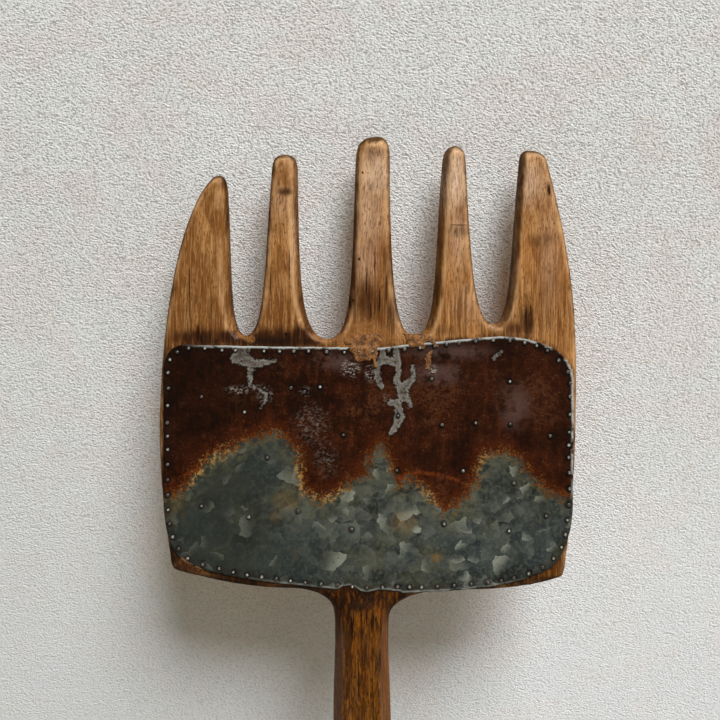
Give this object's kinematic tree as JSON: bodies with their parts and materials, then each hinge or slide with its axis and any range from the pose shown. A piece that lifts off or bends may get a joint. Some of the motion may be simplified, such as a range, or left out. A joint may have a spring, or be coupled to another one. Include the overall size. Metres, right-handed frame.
{
  "type": "wooden hay fork",
  "caption": "Hand-carved wooden hay fork: long handle, broad palm and tapering tines, with a rusty galvanised sheet tacked over the palm's worn front.",
  "frame": {"origin": "on the flat back of the palm, where a wall bracket holds it", "axes": "+Z along the handle towards the tines, +X to the right seen from the front, +Y out of the palm's back; the sheeted front faces -Y"},
  "size_m": [0.31, 0.053, 1.35],
  "materials": {
    "wood": "old oiled and waxed beech, mid brown, soft gloss",
    "sheet": "galvanised sheet steel, dark red-brown rust above and dull blue-grey zinc below",
    "tack": "small domed steel tack heads, darkened and worn",
    "filler": "tan wood filler, matt and pitted"
  },
  "bodies": {
    "root": {"carved_fork": "wood", "sheet_patch": "sheet", "rim_tack_01": "tack", "rim_tack_02": "tack", "rim_tack_03": "tack", "rim_tack_04": "tack", "rim_tack_05": "tack", "rim_tack_06": "tack", "rim_tack_07": "tack", "rim_tack_08": "tack", "rim_tack_09": "tack", "rim_tack_10": "tack", "rim_tack_11": "tack", "rim_tack_12": "tack", "rim_tack_13": "tack", "rim_tack_14": "tack", "rim_tack_15": "tack", "rim_tack_16": "tack", "rim_tack_17": "tack", "rim_tack_18": "tack", "rim_tack_19": "tack", "rim_tack_20": "tack", "rim_tack_21": "tack", "rim_tack_22": "tack", "rim_tack_23": "tack", "rim_tack_24": "tack", "rim_tack_25": "tack", "rim_tack_26": "tack", "rim_tack_27": "tack", "rim_tack_28": "tack", "rim_tack_29": "tack", "rim_tack_30": "tack", "rim_tack_31": "tack", "rim_tack_32": "tack", "rim_tack_33": "tack", "rim_tack_34": "tack", "rim_tack_35": "tack", "rim_tack_36": "tack", "rim_tack_37": "tack", "rim_tack_38": "tack", "rim_tack_39": "tack", "rim_tack_40": "tack", "face_tack_01": "tack", "face_tack_02": "tack", "face_tack_03": "tack", "face_tack_04": "tack", "face_tack_05": "tack", "face_tack_06": "tack", "face_tack_07": "tack", "face_tack_08": "tack", "face_tack_09": "tack", "face_tack_10": "tack", "face_tack_11": "tack", "face_tack_12": "tack", "face_tack_13": "tack", "face_tack_14": "tack", "filler_lower_corner": "filler", "filler_middle_tine": "filler", "filler_right_gap": "filler", "filler_right_gap_run": "filler"}
  },
  "joints": []
}
